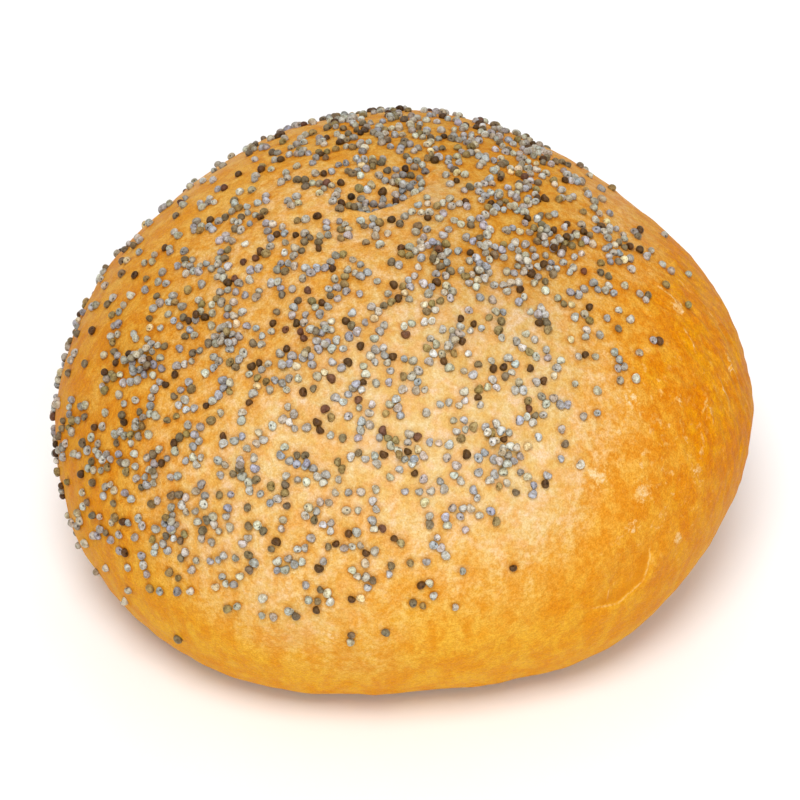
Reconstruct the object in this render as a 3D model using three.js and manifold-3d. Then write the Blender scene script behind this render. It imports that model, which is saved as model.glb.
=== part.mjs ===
// A round bread roll with a smooth golden crust and a cap of poppy seeds.
// Millimetres, +Z up. The roll stands on its flat base at z = 0, with the middle of its box over the origin.
import * as THREE from 'three';
import { mergeVertices } from 'three/addons/utils/BufferGeometryUtils.js';
import Module from 'manifold-3d';

// Driving dimensions of the crust
const PLAN_RADIUS = 46.5;
const HEIGHT = 56.5; // of the smooth form, before the crust is lowered under its seeds
const HALF_HEIGHT = 37.3; // the crown rises this far above the middle, and the base cuts off the lower half
const CROWN_SWELL = 0.048; // the plan grows by this share towards the crown, and shrinks towards the base
const DRAWN_IN = 0.08; // and shrinks by this share towards both
const RIM_ROUNDING = 5; // the base's edge is rounded from this far above the floor
const AXIS_X = -0.73; // the roll's own axis stands a little off the middle of its box
const AXIS_Y = -1.58;

// The plan is not quite round: waves round the axis, as shares of the radius
const PLAN_WAVES = [
  { turns: 2, cosine: 0.009, sine: 0.009 },
  { turns: 3, cosine: 0.012, sine: -0.029 },
];

// Low relief of the crust: faint swells all over, and single bulges and hollows
const SWELLS = [
  { height: 0.1, length: 31, bearing: 20, lift: 25, start: 0.4 },
  { height: 0.09, length: 23, bearing: 75, lift: -10, start: 2.1 },
  { height: 0.08, length: 19, bearing: 140, lift: 40, start: 4.0 },
];
// A bulge or hollow may be longer one way, turned up from level
const BULGES = [
  { bearing: 3, lift: 14, length: 12, width: 12, turn: 0, rise: 0.55 }, // the right side stands out
  { bearing: 33, lift: 33, length: 12, width: 12, turn: 0, rise: -0.75 }, // a flat on the right shoulder
  { bearing: 76, lift: 45, length: 11, width: 11, turn: 0, rise: 0.3 }, // the far shoulder stands out
  { bearing: 130, lift: 37, length: 14, width: 14, turn: 0, rise: -0.22 }, // a faint flat beside it
  { bearing: -91, lift: -27, length: 11, width: 11, turn: 0, rise: -0.5 }, // the base's edge runs in at the front
  { bearing: -50, lift: -25, length: 11, width: 11, turn: 0, rise: 0.5 }, // and out at the right
  { bearing: -120, lift: -24, length: 10, width: 10, turn: 0, rise: 0.45 }, // and at the left
  { bearing: -21, lift: -8, length: 9, width: 9, turn: 0, rise: -0.42 }, // a flat low on the right side
  { bearing: 76, lift: 88, length: 7.5, width: 3.0, turn: 56, rise: -0.9 }, // the fold on the crown
  { bearing: -50.5, lift: 4.5, length: 5.5, width: 4.0, turn: 45, rise: -0.5 }, // the dent behind the flank's lip
];

// The cap of seeds leans away from the roll's axis
const CAP_LEAN = 32;
const CAP_BEARING = 174;
const CAP_FULL_ANGLE = 60; // as thick with seeds as anywhere out to this angle from the cap's middle
const CAP_EDGE_ANGLE = 90; // and bare from here on
const CAP_SINK = 0.75; // the crust lies this much lower where it is thick with seeds
const SEED_COUNT = 256;
const SEED_SPACING = 4.1;
const SEED_LENGTH = 1.36; // across the corners
const SEED_WIDTH = 1.2;
const SEED_THICKNESS = 1.2;
const SEED_SIDES = 6;
const SEED_BANDS = 3;
const SEED_SIZE_SPREAD = 0.12; // a seed is up to this share larger or smaller
const SEED_SUNK = 0.36; // the share of its thickness that is below the crust
const DRAW_START = 20261;

// Fineness of the mesh
const CRUST_STEP = 3.9;
const PROFILE_SAMPLES = 720;
const FEWEST_SIDES = 6;
const BASE_LIFT = -42.5; // degrees below level on the unit sphere, just inside the flat base
const NORMAL_STEP = 0.01;
const SHORTEST_EDGE = 0.006; // a seed that would leave a shorter edge where it meets the crust is left out

const CRUST_COLOUR = 0xdf9c3e;
const CRUST_ROUGHNESS = 0.5;

const wasm = await Module();
wasm.setup();
const radians = THREE.MathUtils.degToRad;
const centre = new THREE.Vector3(AXIS_X, AXIS_Y, HEIGHT - HALF_HEIGHT);
const capAxis = heading(radians(CAP_BEARING), Math.PI / 2 - radians(CAP_LEAN));

// A repeatable draw between 0 and 1
function makeDraw(start) {
  const multiplier = 16807;
  const modulus = 2147483647;
  let state = start;
  return () => {
    state = (state * multiplier) % modulus;
    return state / modulus;
  };
}

// The unit vector at a bearing round +Z from +X, lifted above the level plane, both in radians
function heading(bearing, lift) {
  const level = Math.cos(lift);
  return new THREE.Vector3(level * Math.cos(bearing), level * Math.sin(bearing), Math.sin(lift));
}

function planRadius(bearing) {
  let share = 1;
  for (const wave of PLAN_WAVES) {
    share += wave.cosine * Math.cos(wave.turns * bearing) + wave.sine * Math.sin(wave.turns * bearing);
  }
  return PLAN_RADIUS * share;
}

// The smooth crust's point, from the centre: a point of the unit sphere, stretched and tapered
function smoothPoint(direction) {
  const height = direction.z;
  const share = 1 + CROWN_SWELL * height - DRAWN_IN * height * height;
  const radius = planRadius(Math.atan2(direction.y, direction.x)) * share;
  return new THREE.Vector3(radius * direction.x, radius * direction.y, HALF_HEIGHT * height);
}

// A bulge's middle on the smooth crust, with unit vectors along it and across it
function placeBulge(bulge) {
  const outward = heading(radians(bulge.bearing), radians(bulge.lift));
  const east = new THREE.Vector3(0, 0, 1).cross(outward).normalize();
  const north = new THREE.Vector3().crossVectors(outward, east);
  const turn = radians(bulge.turn);
  const along = east.clone().multiplyScalar(Math.cos(turn)).addScaledVector(north, Math.sin(turn));
  const across = new THREE.Vector3().crossVectors(outward, along);
  return { ...bulge, middle: smoothPoint(outward), outward, along, across };
}

const placedBulges = BULGES.map(placeBulge);
const placedSwells = SWELLS.map((swell) => ({
  ...swell,
  across: heading(radians(swell.bearing), radians(swell.lift)),
}));

// How far the crust stands out of its smooth form at a point measured from the centre
function relief(point) {
  let rise = 0;
  for (const swell of placedSwells) {
    const phase = (2 * Math.PI * point.dot(swell.across)) / swell.length + swell.start;
    rise += swell.height * Math.sin(phase);
  }
  for (const bulge of placedBulges) {
    const offset = point.clone().sub(bulge.middle);
    const along = offset.dot(bulge.along) / bulge.length;
    const across = offset.dot(bulge.across) / bulge.width;
    const outward = offset.dot(bulge.outward) / Math.max(bulge.length, bulge.width);
    rise += bulge.rise * Math.exp(-(along * along + across * across + outward * outward));
  }
  return rise;
}

// The base is flat, and its edge rounds up into the flank
function restOnFloor(height) {
  if (height >= RIM_ROUNDING) return height;
  if (height <= -RIM_ROUNDING) return 0;
  return (height + RIM_ROUNDING) ** 2 / (4 * RIM_ROUNDING);
}

// How thick with seeds the cap is at a point of the unit sphere, from 0 to 1
function capShare(direction) {
  const angle = THREE.MathUtils.radToDeg(direction.angleTo(capAxis));
  return 1 - THREE.MathUtils.smoothstep(angle, CAP_FULL_ANGLE, CAP_EDGE_ANGLE);
}

// The crust's point for a point of the unit sphere
function crustPoint(direction) {
  const smooth = smoothPoint(direction);
  const rise = relief(smooth) - CAP_SINK * capShare(direction);
  const point = smooth.clone().setLength(smooth.length() + rise).add(centre);
  point.z = restOnFloor(point.z);
  return point;
}

// The lifts at which rings lie on the unit sphere, evenly spaced along the profile from the crown to the base
function ringLifts() {
  const lifts = [];
  const drop = Math.PI / 2 - radians(BASE_LIFT);
  let walked = 0;
  let last = crustPoint(heading(0, Math.PI / 2));
  for (let i = 1; i <= PROFILE_SAMPLES; i += 1) {
    const lift = Math.PI / 2 - (drop * i) / PROFILE_SAMPLES;
    const point = crustPoint(heading(0, lift));
    walked += point.distanceTo(last);
    last = point;
    if (walked >= CRUST_STEP * (lifts.length + 1)) lifts.push(lift);
  }
  lifts[lifts.length - 1] = radians(BASE_LIFT);
  return lifts;
}

// Fills the band between two rings that start at the same bearing and may have different counts
function stitchRings(upper, lower, triangles) {
  let i = 0;
  let j = 0;
  while (i < upper.count || j < lower.count) {
    const upperHere = upper.first + (i % upper.count);
    const lowerHere = lower.first + (j % lower.count);
    const stepUpper = j >= lower.count || (i < upper.count && (i + 1) * lower.count <= (j + 1) * upper.count);
    if (stepUpper) {
      i += 1;
      triangles.push(upperHere, lowerHere, upper.first + (i % upper.count));
    } else {
      j += 1;
      triangles.push(upperHere, lowerHere, lower.first + (j % lower.count));
    }
  }
}

// The bare crust: a crown point, rings down to the base, and a fan that closes the base
function makeCrust() {
  const positions = [];
  const triangles = [];
  const addPoint = (point) => positions.push(point.x, point.y, point.z) / 3 - 1;
  const crown = addPoint(crustPoint(heading(0, Math.PI / 2)));
  let upper = null;
  for (const lift of ringLifts()) {
    const girth = 2 * Math.PI * crustPoint(heading(0, lift)).sub(centre).setZ(0).length();
    const ring = { first: positions.length / 3, count: Math.max(FEWEST_SIDES, Math.round(girth / CRUST_STEP)) };
    for (let i = 0; i < ring.count; i += 1) {
      addPoint(crustPoint(heading((2 * Math.PI * i) / ring.count, lift)));
    }
    if (upper) stitchRings(upper, ring, triangles);
    for (let i = 0; i < ring.count && !upper; i += 1) {
      triangles.push(crown, ring.first + i, ring.first + ((i + 1) % ring.count));
    }
    upper = ring;
  }
  const baseMiddle = addPoint(new THREE.Vector3(AXIS_X, AXIS_Y, 0));
  for (let i = 0; i < upper.count; i += 1) {
    triangles.push(baseMiddle, upper.first + ((i + 1) % upper.count), upper.first + i);
  }
  const geometry = new THREE.BufferGeometry();
  geometry.setAttribute('position', new THREE.Float32BufferAttribute(positions, 3));
  geometry.setIndex(triangles);
  return geometry;
}

// The crust's outward unit normal for a point of the unit sphere
function crustNormal(direction) {
  const side = new THREE.Vector3(0, 0, 1).cross(direction).normalize();
  const over = new THREE.Vector3().crossVectors(direction, side);
  const middle = crustPoint(direction);
  const edges = [side, over].map((offset) => {
    const nearby = direction.clone().addScaledVector(offset, NORMAL_STEP).normalize();
    return crustPoint(nearby).sub(middle);
  });
  return edges[0].cross(edges[1]).normalize();
}

// Where the larger seeds lie: drawn at random over the cap, thinner at its edge, and none too near another
function placeSeeds() {
  const draw = makeDraw(DRAW_START);
  const side = new THREE.Vector3(0, 0, 1).cross(capAxis).normalize();
  const over = new THREE.Vector3().crossVectors(capAxis, side);
  const lowest = Math.cos(radians(CAP_EDGE_ANGLE));
  const seeds = [];
  while (seeds.length < SEED_COUNT) {
    const along = 1 - draw() * (1 - lowest);
    const spin = 2 * Math.PI * draw();
    const keep = draw();
    const out = Math.sqrt(1 - along * along);
    const direction = capAxis.clone().multiplyScalar(along);
    direction.addScaledVector(side, out * Math.cos(spin)).addScaledVector(over, out * Math.sin(spin));
    const point = crustPoint(direction);
    const crowded = seeds.some((seed) => seed.point.distanceTo(point) < SEED_SPACING);
    if (keep < capShare(direction) && !crowded) {
      const turn = 2 * Math.PI * draw();
      const size = 1 + SEED_SIZE_SPREAD * (2 * draw() - 1);
      seeds.push({ direction, point, turn, size });
    }
  }
  return seeds;
}

// One seed: a few-sided bean that lies on the crust, a little sunk in
function makeSeed(seed) {
  const normal = crustNormal(seed.direction);
  const geometry = new THREE.SphereGeometry(0.5, SEED_SIDES, SEED_BANDS);
  geometry.rotateX(Math.PI / 2);
  geometry.scale(SEED_LENGTH * seed.size, SEED_WIDTH * seed.size, SEED_THICKNESS * seed.size);
  geometry.rotateZ(seed.turn);
  geometry.applyQuaternion(new THREE.Quaternion().setFromUnitVectors(new THREE.Vector3(0, 0, 1), normal));
  const lift = SEED_THICKNESS * seed.size * (0.5 - SEED_SUNK);
  geometry.translate(...seed.point.clone().addScaledVector(normal, lift).toArray());
  geometry.deleteAttribute('normal');
  geometry.deleteAttribute('uv');
  return mergeVertices(geometry);
}

function toSolid(geometry) {
  const vertProperties = new Float32Array(geometry.attributes.position.array);
  const triVerts = new Uint32Array(geometry.index.array);
  return new wasm.Manifold(new wasm.Mesh({ numProp: 3, vertProperties, triVerts }));
}

function toGeometry(solid) {
  const mesh = solid.getMesh();
  const geometry = new THREE.BufferGeometry();
  geometry.setAttribute('position', new THREE.BufferAttribute(new Float32Array(mesh.vertProperties), 3));
  geometry.setIndex(new THREE.BufferAttribute(new Uint32Array(mesh.triVerts), 1));
  geometry.computeVertexNormals();
  return geometry;
}

function shortestEdge(solid) {
  const { vertProperties, triVerts } = solid.getMesh();
  let shortest = Infinity;
  for (let i = 0; i < triVerts.length; i += 1) {
    const from = 3 * triVerts[i];
    const to = 3 * triVerts[i % 3 === 2 ? i - 2 : i + 1];
    const step = [0, 1, 2].map((axis) => vertProperties[to + axis] - vertProperties[from + axis]);
    shortest = Math.min(shortest, Math.hypot(...step));
  }
  return shortest;
}

// The roll is one solid: the seeds are fused to the crust
function makeRoll() {
  let solid = toSolid(makeCrust());
  for (const seed of placeSeeds()) {
    const fused = solid.add(toSolid(makeSeed(seed)));
    if (shortestEdge(fused) >= SHORTEST_EDGE) solid = fused;
  }
  const material = new THREE.MeshStandardMaterial({
    color: CRUST_COLOUR,
    roughness: CRUST_ROUGHNESS,
    metalness: 0,
  });
  const roll = new THREE.Mesh(toGeometry(solid), material);
  roll.name = 'bread_roll';
  return roll;
}

const group = new THREE.Group();
group.add(makeRoll());

export default group;
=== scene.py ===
"""Looks of a round bread roll: a golden mottled crust with a cap of poppy seeds."""

import itertools
import math

import bpy
import numpy as np
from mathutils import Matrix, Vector
from mathutils.kdtree import KDTree


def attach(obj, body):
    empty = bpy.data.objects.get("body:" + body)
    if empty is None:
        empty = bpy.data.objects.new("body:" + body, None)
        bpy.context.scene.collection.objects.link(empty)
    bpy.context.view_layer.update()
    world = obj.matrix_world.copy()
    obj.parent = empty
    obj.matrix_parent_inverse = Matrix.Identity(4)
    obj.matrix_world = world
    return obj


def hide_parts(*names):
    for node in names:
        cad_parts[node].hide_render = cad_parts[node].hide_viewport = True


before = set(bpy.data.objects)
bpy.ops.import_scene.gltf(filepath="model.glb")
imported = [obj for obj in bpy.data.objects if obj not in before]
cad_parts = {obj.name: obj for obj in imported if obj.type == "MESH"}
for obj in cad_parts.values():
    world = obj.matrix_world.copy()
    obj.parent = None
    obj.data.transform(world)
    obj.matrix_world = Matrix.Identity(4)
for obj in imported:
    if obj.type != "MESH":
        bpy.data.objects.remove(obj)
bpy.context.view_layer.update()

# The roll's form is worked out in millimetres and its meshes are in metres
METRES = 0.001

# Broad form of the crust, as in the solid
PLAN_RADIUS = 46.5
HEIGHT = 56.5
HALF_HEIGHT = 37.3
CROWN_SWELL = 0.048
DRAWN_IN = 0.08
RIM_ROUNDING = 5
AXIS_X = -0.73
AXIS_Y = -1.58
UP = np.array([0.0, 0.0, 1.0])
CENTRE = np.array([AXIS_X, AXIS_Y, HEIGHT - HALF_HEIGHT])
BASE_LIFT = -42.5

# Waves of the plan round the axis: turns, cosine share, sine share
PLAN_WAVES = [(2, 0.009, 0.009), (3, 0.012, -0.029)]

# Faint swells: height, length, bearing, lift, start
SWELLS = [(0.1, 31, 20, 25, 0.4), (0.09, 23, 75, -10, 2.1), (0.08, 19, 140, 40, 4.0)]

# Bulges and hollows: bearing, lift, length, width, turn, rise
BULGES = [
    (3, 14, 12, 12, 0, 0.55),
    (33, 33, 12, 12, 0, -0.75),
    (76, 45, 11, 11, 0, 0.3),
    (130, 37, 14, 14, 0, -0.22),
    (-91, -27, 11, 11, 0, -0.5),
    (-50, -25, 11, 11, 0, 0.5),
    (-120, -24, 10, 10, 0, 0.45),
    (-21, -8, 9, 9, 0, -0.42),
    (76, 88, 7.5, 3.0, 56, -0.9),
    (-50.5, 4.5, 5.5, 4.0, 45, -0.5),
]

# Folds of the skin on the crown, as paths over the plan, in millimetres from the roll's axis.
# Beyond the path the crust drops by the depth and comes back over the reach; this side of it is a lip.
# Last is how strongly the fold's edge shows in the crust's colour.
CROWN_FOLDS = [
    {"path": [(-8, -1.2), (-6.7, -1.9), (-3.7, -2.8), (-0.2, -1.5), (3, 1.3), (5.1, 4.8)],
     "lip": 0.3, "depth": 1.0, "reach": 3.0, "shows": 1.0},
    {"path": [(-2.4, 3.4), (0.4, 2.9), (3, 4.5), (5.7, 7.9)],
     "lip": 0.3, "depth": 0.55, "reach": 2.2, "shows": 1.0},
    {"path": [(-13.5, -7.5), (-12.3, -6.3), (-9.6, -3.7), (-7.5, -1.4)],
     "lip": 0.12, "depth": 0.16, "reach": 2.0, "shows": 0.2},
]

# Folds on the flank, as paths of bearing and lift
FLANK_FOLDS = [
    {"path": [(-45.2, 8.8), (-45.8, 4.0), (-47.0, 0.2), (-49.5, -1.6), (-51.6, -2.9), (-55.2, -1.6),
              (-57.5, -0.8)],
     "lip": 0.0, "depth": -0.32, "reach": 3.2, "shows": 0.7},
]

# Across a fold's path: where the crust drops, and the lip's middle and width
FOLD_DROP = (-0.15, 0.45)
LIP_MIDDLE = -0.5
LIP_WIDTH = 0.6

# Shares of a path's length over which folds and creases, and then their colours, fade at each end
FOLD_FADE = 0.2
CREASE_FADE = 0.25
FOLD_COLOUR_FADE = 0.12
CREASE_COLOUR_FADE = 0.2

# Thin creases and ridges: a path of bearing and lift, their rise and width, and how pale they are
CREASES = [
    ([(-53.8, -1.1), (-53.2, 2.4)], 0.14, 0.45, 0.4),
    ([(-159.5, 39.6), (-158.5, 42.8)], -0.14, 0.5, 0.0),
    ([(-149.8, 36.9), (-147.2, 39.9)], -0.14, 0.5, 0.0),
    ([(-8.8, 44.2), (-9.1, 41.4), (-10.6, 39.2)], 0.11, 0.4, 0.8),
    ([(-14.6, 37.0), (-16.2, 34.1), (-17.6, 32.3)], 0.11, 0.4, 0.75),
    ([(-15.8, 25.9), (-17.4, 23.4), (-16.9, 19.6)], 0.13, 0.45, 0.75),
    ([(-8.0, 26.6), (-9.8, 23.5), (-13.0, 22.8)], 0.13, 0.45, 0.75),
    ([(-22.0, 27.0), (-23.1, 25.9), (-25.8, 24.8)], 0.1, 0.4, 0.65),
    ([(-1.5, 40), (-3.0, 33), (-4.0, 26)], 0.06, 0.4, 0.3),
    ([(-11.0, 16.0), (-12.0, 10.0), (-14.5, 3.0)], 0.08, 0.4, 0.4),
    ([(-9.8, 25.4), (-10.9, 22.0), (-11.2, 18.4)], 0.1, 0.4, 0.7),
    ([(-23.4, 24.6), (-24.6, 21.2)], 0.1, 0.4, 0.6),
    ([(-28.0, 22.4), (-28.8, 20.0)], 0.08, 0.4, 0.5),
    ([(-16.2, 11.8), (-18.4, 9.6), (-20.6, 7.2)], -0.24, 0.5, 0.0),
]

# Pale blots and one small dark mark: bearing, lift, radius and strength
BLOTS = [(-45.0, 20.4, 1.5, 0.8), (-48.4, 15.0, 1.1, 0.6), (-39.4, 5.6, 0.9, 0.9), (-11.0, 39.0, 1.2, 0.9),
         (-38.2, 36.4, 1.2, 0.6), (-28.6, 30.4, 1.0, 0.5), (-51.8, 26.9, 1.8, 0.6), (-33.0, 17.0, 0.9, 0.5),
         (-105.5, 12.4, 2.0, 0.95), (-100.6, 9.0, 1.1, 0.6), (-100.1, 1.0, 1.0, 0.5)]
DARK_MARK = [(-18.4, 11.6, 0.6, 1.0)]

# Small blisters: bearing, lift, radius, rise
BLISTERS = [(-104.9, 12.5, 1.9, 0.2), (-73, 30, 1.5, 0.1), (-28, 34, 1.8, 0.1), (-40, 22, 1.4, 0.09)]

# Fine unevenness all over: wave length and height, and how much each wave is drawn out
RIPPLES = [(9.0, 0.06), (4.2, 0.035), (1.9, 0.016)]
RIPPLE_WAVES = 24
RIPPLE_STRETCH = (0.7, 1.4)
RIPPLE_DRAW_START = 11

# Upright wrinkles of the skin: where, as bearing, lift, reach and strength, and their height.
# Each wave has a length round the roll, a length up it over which it sways, and a start.
WRINKLED = [(-14, 20, 17, 1.0), (6, 34, 13, 0.6)]
WRINKLE_HEIGHT = 0.05
WRINKLE_SWAY = 0.4
WRINKLE_WAVES = [(1.9, 9, 0.3), (2.7, 13, 2.2), (4.1, 21, 4.4)]

# The crust's mesh, and its map: the radius of its disc, and the middle and radius of the base's
CRUST_STEP = 0.455
PROFILE_SAMPLES = 3000
FEWEST_SIDES = 6
NORMAL_STEP = 0.004
MAP_RADIUS = 0.49
BASE_MAP_MIDDLE = 0.92
BASE_MAP_RADIUS = 0.07

# The cap of seeds
CAP_LEAN = 32
CAP_BEARING = 174
CAP_FULL_ANGLE = 60
CAP_EDGE_ANGLE = 90
CAP_SINK = 0.75
LEADER_COUNT = 256
LEADER_SPACING = 4.1
LEADER_SIZE_SPREAD = 0.12
LEADER_DRAW_START = 20261
DRAW_FACTOR = 16807
DRAW_LIMIT = 2147483647
SEED_TOTAL = 1950
# The share that is tried close to another seed, and how far from it, in gaps
SEED_CLING = 0.26
CLING_STEP = (1.0, 1.12)
# The cap's edge: bearing round the cap's middle, angle from it, and how far before the edge seeds thin out
SEED_EDGE = np.array([
    (-180, 80, 24), (-141, 75, 24), (-120, 83, 26), (-95, 94, 29), (-65, 92, 26), (-45, 87, 22),
    (-20, 85, 20), (-4, 85, 14), (6, 77, 10), (18, 71, 8), (45, 67, 12), (90, 74, 32), (140, 80, 30),
])
# How thick with seeds: in the cap's middle, how much less and how uneven further out, and the thick side
SEED_MIDDLE_SHARE = 0.46
SEED_OUTER_DROP = 0.07
SEED_SIDE_SHARE = 0.29
SEED_SIDE_BEARING = -65
SEED_SIDE_ANGLE = 18
# Thicker still, or thinner where the share is negative: plan place from the axis, reach and share
SEED_THICK = [
    (10, 8, 18, 0.42), (4, 21, 12, 0.6), (9, -9, 10, 0.48), (31, 1, 7, 0.15), (-42, -12, 10, -0.12),
    (-43, -22, 9, -0.08), (-28, -25, 10, 0.16), (20, -17, 8, -0.15), (-37, 0, 8, -0.15),
    (-30, 15, 10, -0.05), (-14, 16, 9, 0.12),
]
# No strewn seed lies on a fold's lip near the crown: from how far before its edge to how far behind
LIP_CLEAR = (-1.5, 0.2)
LIP_CLEAR_REACH = 14
# The gap between seeds' middles, and the shares of it that are kept to
SEED_GAP = 1.0
GATHERED_GAP = 0.88
STREWN_GAP = 0.97
PILED_GAP = 0.9
CROWD_CELL = 1.5
# Seeds that have rolled together behind the first folds: tries, share of the path, and how far behind it
FILLED_FOLDS = CROWN_FOLDS[:2]
GATHERED_COUNT = 160
GATHERED_ALONG = (0.08, 0.95)
GATHERED_BEHIND = (0.35, 2.8)
# Seeds on top of others, mostly where they are thick
PILED_COUNT = 60
PILED_SHUFFLE = 2
PILED_LIFT = 0.72
PILED_STEP = 0.55
# A seed, with a notch in one side that its ends bend round
SEED_LENGTH = 1.14
SEED_WIDTH = 1.0
SEED_THICKNESS = 0.93
SEED_SIZE_SPREAD = 0.15
SEED_TILT_SPREAD = 38
SEED_TINT_SPREAD = 0.5
NOTCH_ANGLE = 0.5
NOTCH_DEPTH = 0.36
SEED_BEND = 0.2
SEED_BEND_MIDDLE = 0.06
LEADER_SIZE = 1.06
SEED_SUNK = 0.27
SEED_COLUMNS = 16
SEED_BANDS = 10
TILE_MARGIN = 0.04
SEED_DRAW_START = 7

# Kinds of seed: name, share of all, colour, roughness
SEED_KINDS = [
    ("pale", 0.22, (0.49, 0.455, 0.385), 0.55),
    ("grey", 0.27, (0.40, 0.355, 0.285), 0.55),
    ("blue", 0.19, (0.365, 0.34, 0.33), 0.55),
    ("slate", 0.14, (0.19, 0.138, 0.076), 0.5),
    ("olive", 0.07, (0.27, 0.19, 0.073), 0.5),
    ("dark", 0.075, (0.084, 0.037, 0.0088), 0.42),
    ("russet", 0.013, (0.14, 0.056, 0.027), 0.45),
    ("cream", 0.02, (0.62, 0.50, 0.29), 0.5),
]
# Which of them are the grey and the slate ones
GREY = 1
SLATE = 3
# How many of the slate ones are grey instead where the seeds are lit, as painted light on the front
LIT_GREY_SHARE = 0.75

# What a seed's colour is multiplied by at its coolest and warmest, and at its rosiest and greenest
COOLER = (0.91, 1.01, 1.17)
WARMER = (1.08, 1.0, 0.8)
ROSIER = (1.03, 0.96, 1.03)
GREENER = (0.96, 1.06, 0.96)
# Painted light and shade on the seeds: lighter on the front that faces the lamps, darker elsewhere and
# darkest where gathered in the folds' hollows. The lit zones: bearing, lift, reach and strength
SEED_LIT_ZONE = [(-77, 46, 26, 1.0), (12, 55, 18, 0.35), (-90, 18, 15, 0.35)]
SEED_PAINTED_LIGHT = 0.95
SEED_PAINTED_SHADE = 0.3
GATHERED_PAINTED_SHADE = 0.8
# What it is multiplied by in its darkest and lightest blotches
WORN_DARK = (0.57, 0.47, 0.36)
WORN_LIGHT = (1.29, 1.33, 1.42)
# How much of that comes from the net of ridges and how much from blotches, and how strong the tone is, which
# carries each seed's painted light and shade too
RIDGE_WEAR = 0.35
BLOTCH_WEAR = 0.65
TONE_STRENGTH = 0.26
# The net's scale, how its ridges fade, and the blotches' noise, as for the crust
SEED_NET_SCALE = 3.6
SEED_RIDGES = (0.02, 0.2, 1.0, 0.0)
SEED_NOISE = (1.8, 2.0, 0.55, 0.36, 0.64)
# The dark scar in a seed's notch, on a seed of unit size: its place, how it fades, its share and its shade
HILUM = (0.0, 0.66, 0.0)
HILUM_FADE = (0.16, 0.34, 1.0, 0.0)
HILUM_SHARE = 0.85
HILUM_SHADE = 0.1
# How deep a seed's bump is, and how strongly a seed shines
SEED_BUMP = 0.06
SEED_SHINE = 0.22

# Where the crust is deeper in colour: bearing, lift, reach and strength
DEEP_ZONE = [(-20, 22, 20, 0.85), (10, 8, 24, 0.9), (-48, 0, 14, 0.45), (-150, 12, 24, 0.45),
             (175, 5, 26, 0.45), (50, 8, 26, 0.7), (95, 5, 26, 0.6), (135, 2, 28, 0.5)]
# Where it is paler or less pale
PALE_ZONE = [(-85, 44, 27, 1.0), (-121, 23, 13, 0.4), (-105, 8, 8, 0.3), (-163, 65, 15, 0.3),
             (172, 79, 12, 0.2), (-64, 48, 10, 0.55), (-40, 57, 10, 0.35), (2, 52, 11, 0.34),
             (30, 42, 10, 0.28), (7, 83, 8, 0.4), (-28, 68, 11, -0.3), (-83, 8, 9, -0.2),
             (-95, -10, 9, 0.1), (-27, 44, 9, -0.2), (-117, 64, 10, -0.2), (-103, 21, 7, -0.2),
             (-60.5, 27, 6, 0.3), (-66.5, 20, 6, 0.08), (-53, 23, 7, -0.25), (-62, 11, 7, -0.12),
             (100, 38, 15, 0.5), (140, 36, 11, 0.4), (60, 28, 12, 0.4)]
# How much of that is left out, so that its edge is nearer
PALE_TAIL = 0.2
# Painted shade: where the crust is darkened as if shaded
PAINTED_SHADE_ZONE = [(-36, 71, 15, 0.9), (75, 64, 16, 0.75), (-158, 42, 10, 0.3), (-125, 58, 13, 0.35),
            (168, 18, 8, 0.3)]
# Where pale flecks show most, and their least and added share
FLECKED = [(-38, 24, 13, 1.0)]
FLECKS_LEAST = 0.04
FLECKS_ADDED = 0.38
# How far from a fold's edge, a crease or a seed the colour still knows of it
EDGE_REACH = 4
CREASE_REACH = 2
SEED_REACH = 2
# How strong the mottling is half-way up, on the low flank and on the crown, and where the crown is
MIDDLE_HEIGHT_MOTTLE = 1.12
LOW_MOTTLE = 0.92
CROWN_MOTTLE = 1.2
CROWN_FROM = 40
CROWN_FULL = 52
# How much weaker it is where the crust is palest
PALE_CALM = 0.3
# Heights between which the low flank's amber goes over into gold
AMBER_FROM = 12
AMBER_TO = 36
# How high the base's brown reaches
BASE_REACH = 1.6

# Colours of the crust
GOLDEN = (0.70, 0.335, 0.044)
AMBER = (0.73, 0.335, 0.0165)
DEEP = (0.67, 0.236, 0.0015)
PALE = (0.68, 0.435, 0.137)
ROSY = (0.715, 0.436, 0.173)
FLECK = (0.78, 0.50, 0.19)
PIT = (0.58, 0.19, 0.004)
MARK_BROWN = (0.30, 0.09, 0.008)
BASE_BROWN = (0.42, 0.18, 0.04)
BASE_DARK = (0.25, 0.09, 0.016)
# What mottling multiplies the colour by, at its darkest and lightest: fine, middle and large
FINE_MOTTLE = ((0.90, 0.85, 0.74), (1.09, 1.14, 1.26))
MIDDLE_MOTTLE = ((0.95, 0.87, 0.64), (1.045, 1.125, 1.36))
LARGE_MOTTLE = ((0.97, 0.86, 0.55), (1.03, 1.135, 1.46))
# The same for the upright streaks where it is wrinkled
STREAK_MOTTLE = ((0.91, 0.85, 0.68), (1.06, 1.12, 1.36))
# What it is multiplied by as painted shade where that is deepest, and as a painted contact shadow close to a
# seed
PAINTED_SHADE = (0.80, 0.78, 0.74)
SEED_SHADOW_RING = (0.77, 0.63, 0.44)

# Noises of the crust: scale, detail and roughness, and then the range that is spread from 0 to 1
FINE_NOISE = (4.4, 2.0, 0.6, 0.32, 0.68)
MIDDLE_NOISE = (1.4, 3.0, 0.65, 0.34, 0.66)
LARGE_NOISE = (0.4, 3.0, 0.6, 0.38, 0.62)
ROSY_NOISE = (0.55, 2.0, 0.5, 0.42, 0.62)
FLECK_NOISE = (0.8, 3.0, 0.6, 0.57, 0.68)
TRAY_NOISE = (0.11, 4.0, 0.65, 0.36, 0.62)
STREAK_NOISE = (1.1, 2.0, 0.6, 0.36, 0.64)
PATCH_NOISE = (0.16, 3.0, 0.6)
# Scales that draw the large mottling and the streaks out upwards
LARGE_PLACE = (1, 1, 0.5)
STREAK_PLACE = (1, 1, 0.24)
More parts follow.
